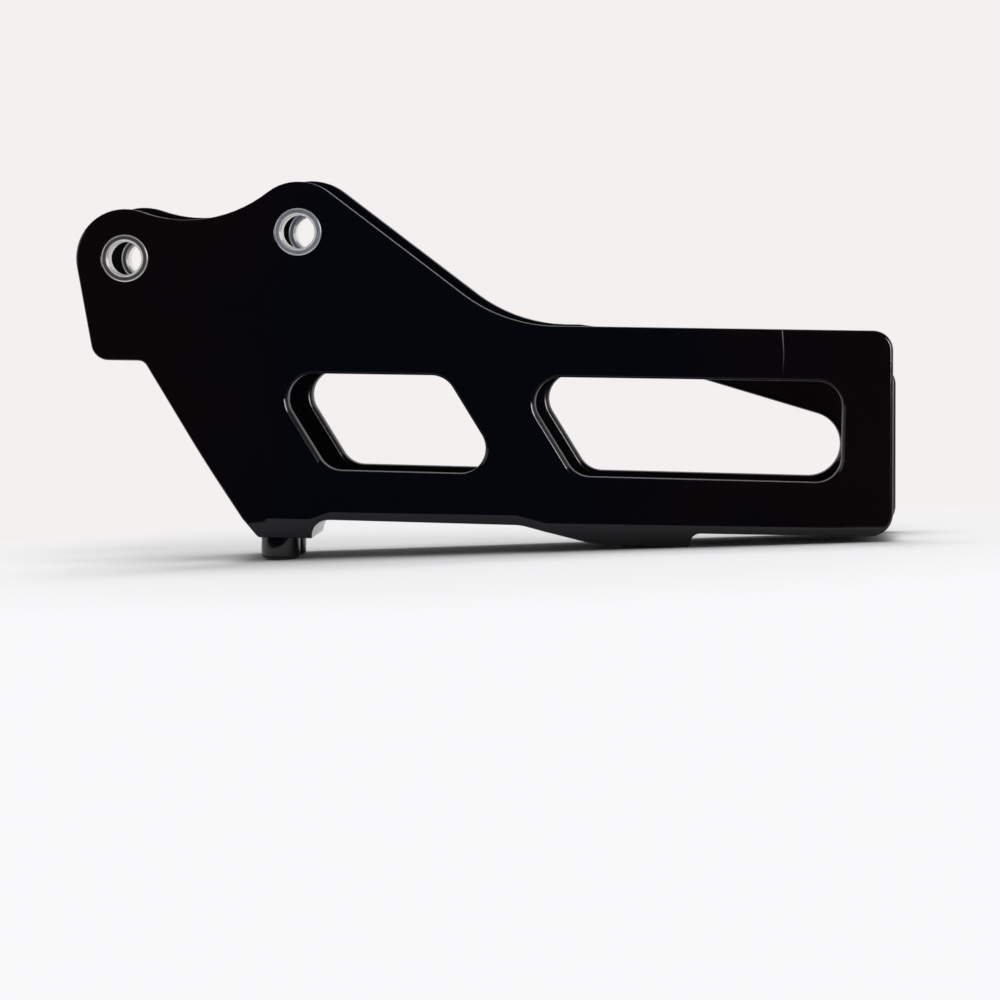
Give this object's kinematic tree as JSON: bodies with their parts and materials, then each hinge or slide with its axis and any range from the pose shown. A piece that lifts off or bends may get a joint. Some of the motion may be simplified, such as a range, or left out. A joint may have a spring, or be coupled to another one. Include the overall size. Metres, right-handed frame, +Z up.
{
  "type": "motorcycle chain guide",
  "caption": "Glossy black moulded rear chain guide for a motorcycle swingarm, with steel collars in its bolt lobes, slanted windows, a sloped foot with pegs and a keel.",
  "frame": {"origin": "middle of the guide's box on the surface that its pegs and keel stand on", "axes": "+X to the rear of the motorcycle, +Y from the outer plate to the inner plate, +Z up as the guide stands"},
  "size_m": [0.2102, 0.0394, 0.0979],
  "materials": {
    "black_plastic": "glossy",
    "collar_steel": "satin",
    "zinc_steel": "satin"
  },
  "bodies": {
    "root": {"guide_body": "black_plastic", "outer_front_collar": "collar_steel", "outer_rear_collar": "zinc_steel", "inner_front_collar": "collar_steel", "inner_rear_collar": "zinc_steel"}
  },
  "joints": []
}
